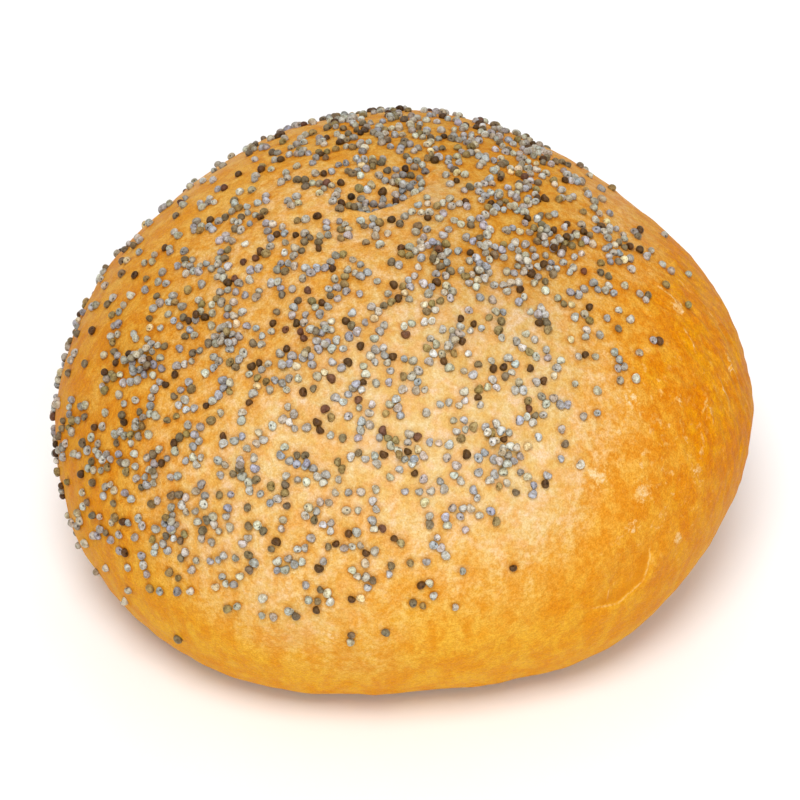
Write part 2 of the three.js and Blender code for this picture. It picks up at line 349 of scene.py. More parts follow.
# How much patches and grain shift the pale zones, the deep zones and the blots
PALE_PATCHES = 0.6
PALE_GRAIN = 0.2
DEEP_PATCHES = 1.3
BLOT_GRAIN = 0.5

# Fades, each from one value to another and what they become there
PALE_START = (0.0, 0.2)
BLOT_FADE = (0.3, 0.75, 0.0, 0.7)
# The painted shadow round a seed fades out with distance, and is weaker on the pale crust
SEED_SHADOW_FADE = (0.5, 1.06, 1.0, 0.0)
SEED_SHADOW_ON_PALE = (0.0, 1.0, 1.0, 0.6)
CREASE_LINE = (0.05, 0.32, 1.0, 0.0)
CREASE_BREAKS = (0.2, 0.6, 0.3, 1.0)
FOLD_EDGE = (0.04, 0.2, 1.0, 0.0)
FOLD_BREAKS = (0.15, 0.55, 0.25, 1.0)
PIT_FROM = (0.1, 0.5)
PIT_TO = (0.8, 2.6, 1.0, 0.0)
CRUST_ROUGHNESS = (0.2, 0.8, 0.44, 0.58)
CRUST_SHINE = (0.0, 1.0, 0.04, 0.4)
# Shares of the pit's, edge's and mark's colours and of the bump's parts, and the bump's depth and strength
PIT_SHARE = 0.9
EDGE_SHARE = 0.7
MARK_SHARE = 0.7
FINE_BUMP = 0.35
MIDDLE_BUMP = 0.5
CREASE_BUMP = 0.5
CRUST_BUMP = 0.15
BUMP_STRENGTH = 0.6

# Camera, as found from the photograph's outline
PICTURE_SIZE = 800
CAMERA_ELEVATION = 41
CAMERA_DISTANCE = 450
CAMERA_PIXELS_PER_MM = 7.3837
CAMERA_AIM = (AXIS_X + 0.45, AXIS_Y - 1.64, 22.12)
SENSOR_WIDTH = 36
CLIP_START = 0.01
CLIP_END = 10

# Floor and lights, in metres and watts: a light's name, bearing, lift, distance, width and power
FLOOR_SIZE = 4
FLOOR_NOISE = (0.05, 2.0)
FLOOR_SHADES = ((0.9, 0.9, 0.9), (0.93, 0.93, 0.93))
FLOOR_ROUGHNESS = 0.8
FLOOR_SHINE = 0.1
LIGHTS = [
    ("key", -100, 66, 0.9, 0.4, 5.2),
    ("front", -76, 24, 1.1, 0.8, 3.4),
    ("back", 85, 45, 1.0, 0.8, 1.8),
]
LIGHT_AIM = (0, 0, 0.025)
WORLD_STRENGTH = 0.52


def heading(bearing, lift):
    """Unit vectors at a bearing round +Z from +X, lifted above the level plane, both in degrees."""
    turn = np.radians(bearing)
    rise = np.radians(lift)
    level = np.cos(rise)
    return np.stack([level * np.cos(turn), level * np.sin(turn), np.sin(rise)], axis=-1)


def unit(vectors):
    return vectors / np.linalg.norm(vectors, axis=-1, keepdims=True)


def smoothstep(value, low, high):
    share = np.clip((value - low) / (high - low), 0, 1)
    return share * share * (3 - 2 * share)


def plan_share(height):
    return 1 + CROWN_SWELL * height - DRAWN_IN * height * height


def plan_radius(bearing):
    share = 1
    for turns, cosine, sine in PLAN_WAVES:
        share = share + cosine * np.cos(turns * bearing) + sine * np.sin(turns * bearing)
    return PLAN_RADIUS * share


def smooth_point(direction):
    """The smooth crust's point, from the centre, for points of the unit sphere."""
    x, y, z = direction[..., 0], direction[..., 1], direction[..., 2]
    radius = plan_radius(np.arctan2(y, x)) * plan_share(z)
    return np.stack([radius * x, radius * y, HALF_HEIGHT * z], axis=-1)


def unit_point(point):
    """The point of the unit sphere for a point near the smooth crust, measured from the centre."""
    x, y = point[..., 0], point[..., 1]
    height = np.clip(point[..., 2] / HALF_HEIGHT, -1, 1)
    radius = plan_radius(np.arctan2(y, x)) * plan_share(height)
    return unit(np.stack([x / radius, y / radius, height], axis=-1))


def zone_total(offset, zone):
    """Round patches added up, for points from the centre. Each has a bearing, lift, reach and strength."""
    total = np.zeros(offset.shape[:-1])
    for bearing, lift, reach, strength in zone:
        far = np.linalg.norm(offset - smooth_point(heading(bearing, lift)), axis=-1)
        total += strength * np.exp(-((far / reach) ** 2))
    return total


def zone_share(points, zone):
    return np.clip(zone_total(points - CENTRE, zone), 0, 1)


def level_frame(outward):
    """East and north on the crust, for outward unit vectors."""
    east = unit(np.cross(UP, outward))
    return east, np.cross(outward, east)


def level_way(outward, turn):
    """The way along the crust at a turn from east to north."""
    east, north = level_frame(outward)
    return east * math.cos(turn) + north * math.sin(turn)


def broad_relief(point):
    """How far the solid's crust stands out of its smooth form."""
    rise = np.zeros(point.shape[:-1])
    for height, length, bearing, lift, start in SWELLS:
        rise += height * np.sin(2 * np.pi * (point @ heading(bearing, lift)) / length + start)
    for bearing, lift, length, width, turn, height in BULGES:
        outward = heading(bearing, lift)
        along = level_way(outward, math.radians(turn))
        across = np.cross(outward, along)
        offset = point - smooth_point(outward)
        far = (offset @ along / length) ** 2 + (offset @ across / width) ** 2
        far += (offset @ outward / max(length, width)) ** 2
        rise += height * np.exp(-far)
    return rise


def across_path(point, path):
    """The distance across a path, positive on its left, and the share of its length, for points near it."""
    lengths = np.linalg.norm(np.diff(path, axis=0), axis=1)
    starts = np.concatenate([[0], np.cumsum(lengths)])
    nearest = np.full(point.shape[:-1], np.inf)
    across = np.zeros(point.shape[:-1])
    share = np.zeros(point.shape[:-1])
    for i, length in enumerate(lengths):
        along = (path[i + 1] - path[i]) / length
        left = np.cross(unit(path[i] + path[i + 1]), along)
        walked = np.clip((point - path[i]) @ along, 0, length)
        offset = point - path[i] - walked[..., None] * along
        distance = np.linalg.norm(offset, axis=-1)
        closer = distance < nearest
        nearest = np.where(closer, distance, nearest)
        across = np.where(closer, np.copysign(distance, offset @ left), across)
        share = np.where(closer, (starts[i] + walked) / starts[-1], share)
    return across, share


def end_fades(share, fade):
    """From 0 at both ends of a path to 1 along its middle."""
    return smoothstep(share, 0.0, fade) * (1 - smoothstep(share, 1 - fade, 1.0))


def fold_relief(point, path, fold):
    across, share = across_path(point, path)
    beyond = smoothstep(across, *FOLD_DROP) * np.exp(-((np.maximum(across, 0) / fold["reach"]) ** 2))
    lip = np.exp(-(((across - LIP_MIDDLE) / LIP_WIDTH) ** 2))
    return end_fades(share, FOLD_FADE) * (fold["lip"] * lip - fold["depth"] * beyond)


def crown_path(places):
    """A path over the plan near the crown, as points on the smooth crust."""
    plan = np.array(places, float) / (PLAN_RADIUS * plan_share(1))
    rise = np.sqrt(1 - (plan ** 2).sum(axis=1))
    return smooth_point(np.column_stack([plan, rise]))


def flank_path(places):
    places = np.array(places, float)
    return smooth_point(heading(places[:, 0], places[:, 1]))


def ripple_relief(point):
    """Fine unevenness: many weak waves that run all ways."""
    chance = np.random.RandomState(RIPPLE_DRAW_START)
    rise = np.zeros(point.shape[:-1])
    for length, height in RIPPLES:
        for _ in range(RIPPLE_WAVES):
            way = unit(chance.normal(size=3))
            start = chance.uniform(0, 2 * np.pi)
            stretch = chance.uniform(*RIPPLE_STRETCH)
            phase = 2 * np.pi * (point @ way) / (length * stretch) + start
            rise += height * math.sqrt(2 / RIPPLE_WAVES) * np.sin(phase)
    return rise


def wrinkle_relief(point):
    """Upright wrinkles, which sway from side to side as they rise."""
    round_roll = PLAN_RADIUS * np.arctan2(point[..., 1], point[..., 0])
    rise = np.zeros(point.shape[:-1])
    for length, sway_length, start in WRINKLE_WAVES:
        sway = WRINKLE_SWAY * length * np.sin(2 * np.pi * point[..., 2] / sway_length + start)
        rise += np.sin(2 * np.pi * (round_roll + sway) / length + start)
    return WRINKLE_HEIGHT * zone_total(point, WRINKLED) * rise


def fine_relief(point):
    """What the looks add to the solid's relief: folds, creases, blisters, wrinkles and ripples."""
    rise = ripple_relief(point) + wrinkle_relief(point)
    for fold in CROWN_FOLDS:
        rise += fold_relief(point, crown_path(fold["path"]), fold)
    for fold in FLANK_FOLDS:
        rise += fold_relief(point, flank_path(fold["path"]), fold)
    for path, height, width, _ in CREASES:
        across, share = across_path(point, flank_path(path))
        rise += end_fades(share, CREASE_FADE) * height * np.exp(-((across / width) ** 2))
    return rise + zone_total(point, BLISTERS)


def rest_on_floor(height):
    """The base is flat, and its edge rounds up into the flank."""
    rounded = (height + RIM_ROUNDING) ** 2 / (4 * RIM_ROUNDING)
    return np.where(height >= RIM_ROUNDING, height, np.where(height <= -RIM_ROUNDING, 0, rounded))


def cap_axis():
    return heading(CAP_BEARING, 90 - CAP_LEAN)


def cap_angle(direction):
    """The angle from the cap's middle, in degrees, for points of the unit sphere."""
    return np.degrees(np.arccos(np.clip(direction @ cap_axis(), -1, 1)))


def cap_share(direction):
    return 1 - smoothstep(cap_angle(direction), CAP_FULL_ANGLE, CAP_EDGE_ANGLE)


def raised(direction, relief):
    smooth = smooth_point(direction)
    rise = relief(smooth) - CAP_SINK * cap_share(direction)
    point = smooth + unit(smooth) * rise[..., None] + CENTRE
    point[..., 2] = rest_on_floor(point[..., 2])
    return point


def solid_point(direction):
    return raised(direction, broad_relief)


def crust_point(direction):
    return raised(direction, lambda point: broad_relief(point) + fine_relief(point))


def crust_normal(direction):
    side, over = level_frame(direction)

    def slope(way):
        ahead = crust_point(unit(direction + way * NORMAL_STEP))
        return ahead - crust_point(unit(direction - way * NORMAL_STEP))

    return unit(np.cross(slope(side), slope(over)))


# Meshes

def make_piece(name, points, triangles, corner_map, material):
    """A smooth triangle mesh from points in millimetres, with a map of its corners, in the solid's place."""
    mesh = bpy.data.meshes.new(name)
    mesh.vertices.add(len(points))
    mesh.vertices.foreach_set("co", (points * METRES).astype(np.float32).ravel())
    mesh.loops.add(3 * len(triangles))
    mesh.loops.foreach_set("vertex_index", triangles.astype(np.int32).ravel())
    mesh.polygons.add(len(triangles))
    mesh.polygons.foreach_set("loop_start", np.arange(0, 3 * len(triangles), 3, dtype=np.int32))
    mesh.polygons.foreach_set("use_smooth", np.ones(len(triangles), dtype=bool))
    mesh.update(calc_edges=True)
    baked = mesh.uv_layers.new(name="OFBake")
    baked.uv.foreach_set("vector", corner_map.astype(np.float32).ravel())
    mesh.validate()
    mesh.materials.append(material)
    piece = bpy.data.objects.new(name, mesh)
    bpy.context.scene.collection.objects.link(piece)
    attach(piece, "root")
    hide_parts("bread_roll")
    return piece


def add_values(piece, name, values):
    """Gives each point of a piece a value, or a vector, that its material reads."""
    kind, field = ("FLOAT_VECTOR", "vector") if values.ndim == 2 else ("FLOAT", "value")
    attribute = piece.data.attributes.new(name, kind, "POINT")
    attribute.data.foreach_set(field, values.astype(np.float32).ravel())


# The crust

def ring_lifts():
    lifts = np.linspace(90, BASE_LIFT, PROFILE_SAMPLES + 1)
    profile = solid_point(heading(np.zeros_like(lifts), lifts))
    walked = np.concatenate([[0], np.cumsum(np.linalg.norm(np.diff(profile, axis=0), axis=1))])
    count = int(walked[-1] / CRUST_STEP)
    return np.interp(np.linspace(0, walked[-1], count + 1)[1:], walked, lifts)


def stitch_rings(upper, lower, triangles):
    """Fills the band between two rings, each its first point and its count."""
    i = 0
    j = 0
    while i < upper[1] or j < lower[1]:
        upper_here = upper[0] + i % upper[1]
        lower_here = lower[0] + j % lower[1]
        if j >= lower[1] or (i < upper[1] and (i + 1) * lower[1] <= (j + 1) * upper[1]):
            i += 1
            triangles.append((upper_here, lower_here, upper[0] + i % upper[1]))
        else:
            j += 1
            triangles.append((upper_here, lower_here, lower[0] + j % lower[1]))


def crust_mesh():
    """Points of the unit sphere in rings, the triangles between them, and the first of the base's.

    The base's triangles meet at its middle, one point past the last of the rings.
    """
    directions = [heading(np.zeros(1), np.full(1, 90.0))]
    triangles = []
    upper = None
    first = 1
    for lift in ring_lifts():
        out = solid_point(heading(0.0, lift)) - CENTRE
        girth = 2 * math.pi * math.hypot(out[0], out[1])
        count = max(FEWEST_SIDES, round(girth / CRUST_STEP))
        directions.append(heading(np.arange(count) * 360 / count, np.full(count, lift)))
        if upper is None:
            triangles.extend((0, first + i, first + (i + 1) % count) for i in range(count))
        else:
            stitch_rings(upper, (first, count), triangles)
        upper = (first, count)
        first += count
    base_from = len(triangles)
    triangles.extend((first, upper[0] + (i + 1) % upper[1], upper[0] + i) for i in range(upper[1]))
    return np.concatenate(directions), np.array(triangles), base_from


def crust_map(directions, points, triangles, base_from):
    """The flank and crown as a disc of even area, and the base as a small disc in a corner."""
    lowest = math.sin(math.radians(BASE_LIFT))
    height = np.append(directions[:, 2], lowest)
    out = MAP_RADIUS * np.sqrt((1 - height) / (1 - lowest))
    turn = np.arctan2(np.append(directions[:, 1], 0), np.append(directions[:, 0], 0))
    disc = np.column_stack([0.5 + out * np.cos(turn), 0.5 + out * np.sin(turn)])
    base = BASE_MAP_MIDDLE + BASE_MAP_RADIUS * (points[:, :2] - CENTRE[:2]) / PLAN_RADIUS
    corners = disc[triangles]
    corners[base_from:] = base[triangles[base_from:]]
    return corners.reshape(-1, 2)


# Materials

class Nodes:
    """A material's node tree, with its nodes made by one short call each."""

    def __init__(self, name):
        self.material = bpy.data.materials.new(name)
        self.material.use_nodes = True
        self.tree = self.material.node_tree
        self.tree.nodes.clear()

    def add(self, kind, inputs, **settings):
        made = self.tree.nodes.new(kind)
        for key, value in settings.items():
            setattr(made, key, value)
        for key, value in inputs.items():
            if isinstance(value, bpy.types.NodeSocket):
                self.tree.links.new(value, made.inputs[key])
            else:
                made.inputs[key].default_value = value
        return made

    def math(self, operation, *values, clamp=False):
        made = self.add("ShaderNodeMath", dict(enumerate(values)), operation=operation, use_clamp=clamp)
        return made.outputs[0]

    def times(self, first, second):
        return self.math("MULTIPLY", first, second)

    def swing(self, share, strength, middle=0.5):
        """How far a share is from a half, made stronger or weaker, about a middle."""
        return self.math("MULTIPLY_ADD", self.math("SUBTRACT", share, 0.5), strength, middle)

    def value(self, name, output="Fac"):
        return self.add("ShaderNodeAttribute", {}, attribute_name=name).outputs[output]

    def place(self, *scale):
        """The place on the piece in millimetres, stretched by a scale for each axis."""
        spot = self.add("ShaderNodeTexCoord", {}).outputs["Object"]
        millimetres = tuple(share / METRES for share in (scale or (1, 1, 1)))
        return self.add("ShaderNodeVectorMath", {0: spot, 1: millimetres}, operation="MULTIPLY").outputs[0]

    def noise(self, vector, scale, detail=3.0, roughness=0.55):
        inputs = {"Vector": vector, "Scale": scale, "Detail": detail, "Roughness": roughness}
        return self.add("ShaderNodeTexNoise", inputs).outputs["Fac"]

    def ramp(self, value, low, high, start=0.0, end=1.0):
        inputs = {"Value": value, "From Min": low, "From Max": high, "To Min": start, "To Max": end}
        return self.add("ShaderNodeMapRange", inputs, interpolation_type="SMOOTHSTEP").outputs["Result"]

    def pattern(self, vector, noise):
        """Noise with a range of it spread from 0 to 1."""
        *settings, low, high = noise
        return self.ramp(self.noise(vector, *settings), low, high)

    def mix(self, share, first, second, blend="MIX"):
        inputs = {0: share, 6: first, 7: second}
        for key, value in inputs.items():
            if isinstance(value, tuple):
                inputs[key] = (*value, 1.0)
        made = self.add("ShaderNodeMix", inputs, data_type="RGBA", blend_type=blend, clamp_factor=True)
        return made.outputs[2]

    def tint(self, colour, other):
        return self.mix(1.0, colour, other, "MULTIPLY")

    def bump(self, height, distance):
        inputs = {"Strength": BUMP_STRENGTH, "Distance": distance * METRES, "Height": height}
        return self.add("ShaderNodeBump", inputs).outputs["Normal"]

    def surface(self, inputs):
        shader = self.add("ShaderNodeBsdfPrincipled", inputs)
        self.add("ShaderNodeOutputMaterial", {"Surface": shader.outputs["BSDF"]})
        return self.material


def ground_colour(nodes, place, middle, patches, pale, creases):
    """The crust's colour before mottling."""
    deep = nodes.math("MULTIPLY_ADD", patches, DEEP_PATCHES, nodes.value("deep"), clamp=True)
    colour = nodes.mix(nodes.value("amber"), GOLDEN, AMBER)
    colour = nodes.mix(deep, colour, DEEP)
    colour = nodes.mix(pale, colour, nodes.mix(nodes.pattern(place, ROSY_NOISE), PALE, ROSY))
    flecks = nodes.times(nodes.pattern(place, FLECK_NOISE), nodes.value("flecked"))
    blot = nodes.swing(middle, BLOT_GRAIN, nodes.value("blot"))
    for share in (flecks, creases, nodes.ramp(blot, *BLOT_FADE)):
        colour = nodes.mix(share, colour, FLECK)
    tray_marks = nodes.pattern(place, TRAY_NOISE)
    return nodes.mix(nodes.value("base"), colour, nodes.mix(tray_marks, BASE_DARK, BASE_BROWN))


def mottled(nodes, colour, fine, middle):
    """A colour with mottling of three sizes, streaks where it is wrinkled, and zones of painted shade."""
    large = nodes.pattern(nodes.place(*LARGE_PLACE), LARGE_NOISE)
    lively = nodes.value("lively")
    for share, mottle in ((fine, FINE_MOTTLE), (middle, MIDDLE_MOTTLE), (large, LARGE_MOTTLE)):
        colour = nodes.tint(colour, nodes.mix(nodes.swing(share, lively), *mottle))
    streaks = nodes.pattern(nodes.place(*STREAK_PLACE), STREAK_NOISE)
    streaks = nodes.swing(streaks, nodes.value("wrinkled"))
    colour = nodes.tint(colour, nodes.mix(streaks, *STREAK_MOTTLE))
    # Painted shade: the crust is darkened in zones
    return nodes.mix(nodes.value("painted_shade"), colour, nodes.tint(colour, PAINTED_SHADE))


def crust_material():
    nodes = Nodes("crust")
    place = nodes.place()
    fine = nodes.pattern(place, FINE_NOISE)
    middle = nodes.pattern(place, MIDDLE_NOISE)
    patches = nodes.math("SUBTRACT", nodes.noise(place, *PATCH_NOISE), 0.5)
    blotches = nodes.swing(middle, PALE_GRAIN, nodes.times(patches, PALE_PATCHES))
    pale = nodes.times(blotches, nodes.ramp(nodes.value("pale"), *PALE_START))
    pale = nodes.math("ADD", pale, nodes.value("pale"), clamp=True)
    creases = crease_lines(nodes, middle)
    colour = ground_colour(nodes, place, middle, patches, pale, creases)
    colour = mottled(nodes, colour, fine, middle)
    # Painted contact shadow on the crust round each seed, weaker where the crust is pale
    seed_shadow = nodes.ramp(nodes.value("seed_far"), *SEED_SHADOW_FADE)
    seed_shadow = nodes.times(seed_shadow, nodes.ramp(pale, *SEED_SHADOW_ON_PALE))
    colour = nodes.mix(seed_shadow, colour, nodes.tint(colour, SEED_SHADOW_RING))
    edge, pit = fold_edges(nodes, middle)
    colour = nodes.mix(nodes.times(pit, PIT_SHARE), colour, PIT)
    # The folds' pale edges: paler skin, with a painted highlight along the lip
    colour = nodes.mix(nodes.times(edge, EDGE_SHARE), colour, FLECK)
    colour = nodes.mix(nodes.times(nodes.value("dark_mark"), MARK_SHARE), colour, MARK_BROWN)
    height = nodes.math("MULTIPLY_ADD", fine, FINE_BUMP, nodes.times(middle, MIDDLE_BUMP))
    height = nodes.math("MULTIPLY_ADD", creases, CREASE_BUMP, height)
    return nodes.surface({
        "Base Color": colour,
        "Roughness": nodes.ramp(middle, *CRUST_ROUGHNESS),
        "Specular IOR Level": nodes.ramp(pale, *CRUST_SHINE),
        "Normal": nodes.bump(height, CRUST_BUMP),
    })


def crease_lines(nodes, breaks):
    """Thin pale lines along the creases, broken here and there."""
    line = nodes.ramp(nodes.math("ABSOLUTE", nodes.value("crease_across")), *CREASE_LINE)
    line = nodes.times(line, nodes.ramp(breaks, *CREASE_BREAKS))
    return nodes.times(line, nodes.value("crease_pale"))


def fold_edges(nodes, breaks):
    """The thin pale edge of a fold, broken here and there, partly paler skin and partly a painted highlight
    on the lip, and the darker crust just behind it.
    """
    across = nodes.value("fold_across")
    fades = nodes.value("fold_fade")
    edge = nodes.ramp(nodes.math("ABSOLUTE", across), *FOLD_EDGE)
    edge = nodes.times(edge, nodes.ramp(breaks, *FOLD_BREAKS))
    pit = nodes.times(nodes.ramp(across, *PIT_FROM), nodes.ramp(across, *PIT_TO))
    return nodes.times(edge, fades), nodes.times(pit, fades)


def seed_distance(points, seed_places):
    """How far the crust's points are from the nearest seed's middle."""
    tree = KDTree(len(seed_places))
    for number, place in enumerate(seed_places):
        tree.insert(place, number)
    tree.balance()
    return np.array([min(tree.find(point)[2], SEED_REACH) for point in points])


def nearest_path(points, paths, reach, fade):
    """The distance across the nearest path, up to a reach, and how strongly that path shows there.

    Each path has a side, 1 or -1, that says which way across it is positive, and a strength.
    """
    offset = points - CENTRE
    nearest = np.full(len(points), float(reach))
    shows = np.zeros(len(points))
    for path, side, strength in paths:
        across, along = across_path(offset, path)
        closer = np.abs(across) < np.abs(nearest)
        nearest = np.where(closer, side * across, nearest)
        shows = np.where(closer, strength * end_fades(along, fade), shows)
    return nearest, shows


def crust_values(points, seed_places):
    """What the crust's material reads at each point."""
    folds = [(crown_path(fold["path"]), 1, fold["shows"]) for fold in CROWN_FOLDS]
    folds += [(flank_path(fold["path"]), -1, fold["shows"]) for fold in FLANK_FOLDS]
    creases = [(flank_path(path), 1, pale) for path, _, _, pale in CREASES if pale > 0]
    fold_across, fold_fade = nearest_path(points, folds, EDGE_REACH, FOLD_COLOUR_FADE)
    crease_across, crease_pale = nearest_path(points, creases, CREASE_REACH, CREASE_COLOUR_FADE)
    height = points[:, 2]
    low = 1 - smoothstep(height, AMBER_FROM, AMBER_TO)
    crown = smoothstep(height, CROWN_FROM, CROWN_FULL)
    pale = np.clip((zone_share(points, PALE_ZONE) - PALE_TAIL) / (1 - PALE_TAIL), 0, 1)
    lively = MIDDLE_HEIGHT_MOTTLE + (LOW_MOTTLE - MIDDLE_HEIGHT_MOTTLE) * low
    lively += (CROWN_MOTTLE - MIDDLE_HEIGHT_MOTTLE) * crown
    return {
        "crease_across": crease_across,
        "crease_pale": crease_pale,
        "blot": zone_share(points, BLOTS),
        "dark_mark": zone_share(points, DARK_MARK),
        "flecked": FLECKS_LEAST + FLECKS_ADDED * zone_share(points, FLECKED),
        "seed_far": seed_distance(points, seed_places),
        "fold_across": fold_across,
        "fold_fade": fold_fade,
        "pale": pale,
        "deep": zone_share(points, DEEP_ZONE),
        # Painted shade
        "painted_shade": zone_share(points, PAINTED_SHADE_ZONE),
        "wrinkled": zone_share(points, WRINKLED),
        "amber": low,
        "lively": lively * (1 - PALE_CALM * pale),
        "base": 1 - smoothstep(height, 0.0, BASE_REACH),
    }


def make_crust(seed_places):
    directions, triangles, base_from = crust_mesh()
    points = np.vstack([crust_point(directions), [[AXIS_X, AXIS_Y, 0]]])
    corner_map = crust_map(directions, points, triangles, base_from)
    piece = make_piece("crust", points, triangles, corner_map, crust_material())
    for name, values in crust_values(points, seed_places).items():
        add_values(piece, name, values)


# The seeds

def cap_direction(along, spin):
    """The point of the unit sphere at a height along the cap's axis and a turn round it."""
    axis = cap_axis()
    side, over = level_frame(axis)
    out = math.sqrt(1 - along * along)
    return axis * along + side * out * math.cos(spin) + over * out * math.sin(spin)


def leader_seeds():
    """The solid's own seeds, by its rule and its draws: unit sphere points, turns and sizes."""
    state = LEADER_DRAW_START

    def draw():
        nonlocal state
        state = (state * DRAW_FACTOR) % DRAW_LIMIT
        return state / DRAW_LIMIT

    lowest = math.cos(math.radians(CAP_EDGE_ANGLE))
    leaders = []
    points = np.zeros((0, 3))
    while len(leaders) < LEADER_COUNT:
        along = 1 - draw() * (1 - lowest)
        spin = 2 * math.pi * draw()
        keep = draw()
        direction = cap_direction(along, spin)
        point = solid_point(direction)
        crowded = len(points) and np.linalg.norm(points - point, axis=1).min() < LEADER_SPACING
        if keep < cap_share(direction) and not crowded:
            turn = 2 * math.pi * draw()
            size = 1 + LEADER_SIZE_SPREAD * (2 * draw() - 1)
            leaders.append((direction, turn, size))
            points = np.vstack([points, point])
    return leaders


class Crowd:
    """Places taken by seeds, in cells, so that the near ones are found quickly."""

    def __init__(self):
        self.cells = {}

    def key(self, point):
        return tuple(int(math.floor(part / CROWD_CELL)) for part in point)

    def add(self, point):
        self.cells.setdefault(self.key(point), []).append(point)

    def near(self, point):
        x, y, z = self.key(point)
        for i, j, k in itertools.product((-1, 0, 1), repeat=3):
            yield from self.cells.get((x + i, y + j, z + k), ())

    def is_clear(self, point, gap):
        return all(math.dist(point, other) >= gap for other in self.near(point))


def seed_share(direction):
    """The chance that a seed tried at a point of the unit sphere is kept. Above 1 all are."""
    axis = cap_axis()
    right = unit(np.array([1.0, 0.0, 0.0]) - axis * axis[0])
    back = np.cross(axis, right)
    angle = float(cap_angle(direction))
    bearing = math.atan2(float(direction @ back), float(direction @ right))
    outer = min(1.0, angle / SEED_SIDE_ANGLE)
    lean = math.cos(bearing - math.radians(SEED_SIDE_BEARING))
    place = smooth_point(direction)
    share = SEED_MIDDLE_SHARE + outer * (SEED_SIDE_SHARE * lean - SEED_OUTER_DROP)
    for x, y, reach, more in SEED_THICK:
        far = math.hypot(place[0] - x, place[1] - y) if place[2] > 0 else math.inf
        share += more * math.exp(-((far / reach) ** 2))
    if math.hypot(place[0], place[1]) < LIP_CLEAR_REACH and place[2] > 0 and on_lip(place):
        return 0.0
    turn = math.degrees(bearing)
    edge, fade = (np.interp(turn, SEED_EDGE[:, 0], column, period=360) for column in SEED_EDGE.T[1:])
    return share * (1 - float(smoothstep(angle, edge - fade, edge)))


def on_lip(place):
    for fold in FILLED_FOLDS:
        across, along = across_path(place, crown_path(fold["path"]))
        if LIP_CLEAR[0] < across < LIP_CLEAR[1] and 0 < along < 1:
            return True
    return False


def gathered_places(chance):
    """Places of seeds behind the crown's first two folds, as points near the smooth crust."""
    for fold in FILLED_FOLDS * GATHERED_COUNT:
        path = crown_path(fold["path"])
        part = chance.uniform(*GATHERED_ALONG) * (len(path) - 1)
        start = int(part)
        along = path[start + 1] - path[start]
        behind = np.cross(unit(path[start]), unit(along))
        yield path[start] + along * (part - start) + behind * chance.uniform(*GATHERED_BEHIND)


def strewn_seeds():
    """The first layer: the solid's own seeds, the gathered ones and the rest.

    Each is a point of the unit sphere, a turn, a size and whether it is gathered.
    """
    chance = np.random.RandomState(SEED_DRAW_START)
    lowest = math.cos(math.radians(SEED_EDGE[:, 1].max()))
    crowd = Crowd()
    seeds = []
    places = []

    def lay(direction, turn, size, gathered):
        place = smooth_point(direction)
        seeds.append((direction, turn, size, gathered))
        places.append(place)
        crowd.add(place)

    for direction, turn, size in leader_seeds():
        lay(direction, turn, size * LEADER_SIZE, False)
    for spot in gathered_places(chance):
        direction = unit_point(spot)
        if crowd.is_clear(smooth_point(direction), GATHERED_GAP * SEED_GAP):
            lay(direction, chance.uniform(0, 2 * math.pi), 1.0, True)
    while len(seeds) < SEED_TOTAL:
        spin = chance.uniform(0, 2 * math.pi)
        size = 1 + SEED_SIZE_SPREAD * chance.uniform(-1, 1)
        if chance.uniform() < SEED_CLING:
            parent = places[chance.randint(len(places))]
            step = SEED_GAP * chance.uniform(*CLING_STEP)
            direction = unit_point(parent + step * level_way(unit(parent), spin))
        else:
            direction = cap_direction(1 - chance.uniform() * (1 - lowest), spin)
        if chance.uniform() > seed_share(direction):
            continue
        if crowd.is_clear(smooth_point(direction), STREWN_GAP * SEED_GAP):
            lay(direction, chance.uniform(0, 2 * math.pi), size, False)
    return seeds


def seed_points():
    """The points of a kidney-shaped seed of unit size, from pole to pole."""
    rows = [(0.0, 0.0, 1.0)]
    for band in range(1, SEED_BANDS):
        tilt = math.pi * band / SEED_BANDS
        for column in range(SEED_COLUMNS):
            turn = 2 * math.pi * column / SEED_COLUMNS
            rows.append((math.sin(tilt) * math.cos(turn), math.sin(tilt) * math.sin(turn), math.cos(tilt)))
    rows.append((0.0, 0.0, -1.0))
    ball = np.array(rows)
    notch = np.exp(-((np.arccos(np.clip(ball[:, 1], -1, 1)) / NOTCH_ANGLE) ** 2))
    form = ball * (1 - NOTCH_DEPTH * notch)[:, None]
    form[:, 1] += SEED_BEND * ball[:, 0] ** 2 - SEED_BEND_MIDDLE
    return form


def seed_triangles():
    """The triangles between a seed's points, and their map with the seam opened."""

    def spot(band, column):
        shift = 0.5 if band in (0, SEED_BANDS) else 0
        return ((column + shift) / SEED_COLUMNS, band / SEED_BANDS)

    def index(band, column):
        if band == 0:
            return 0
        first = 1 + (band - 1) * SEED_COLUMNS
        return first if band == SEED_BANDS else first + column % SEED_COLUMNS

    trios = []
    for band, column in itertools.product(range(SEED_BANDS), range(SEED_COLUMNS)):
        here = (band, column)
        below = (band + 1, column)
        beside = (band, column + 1)
        across = (band + 1, column + 1)
        if band < SEED_BANDS - 1:
            trios.append((here, below, across))
            if band > 0:
                trios.append((here, across, beside))
        else:
            trios.append((here, below, beside))
    triangles = np.array([[index(*corner) for corner in trio] for trio in trios])
    corners = np.array([[spot(*corner) for corner in trio] for trio in trios])
    return triangles, corners


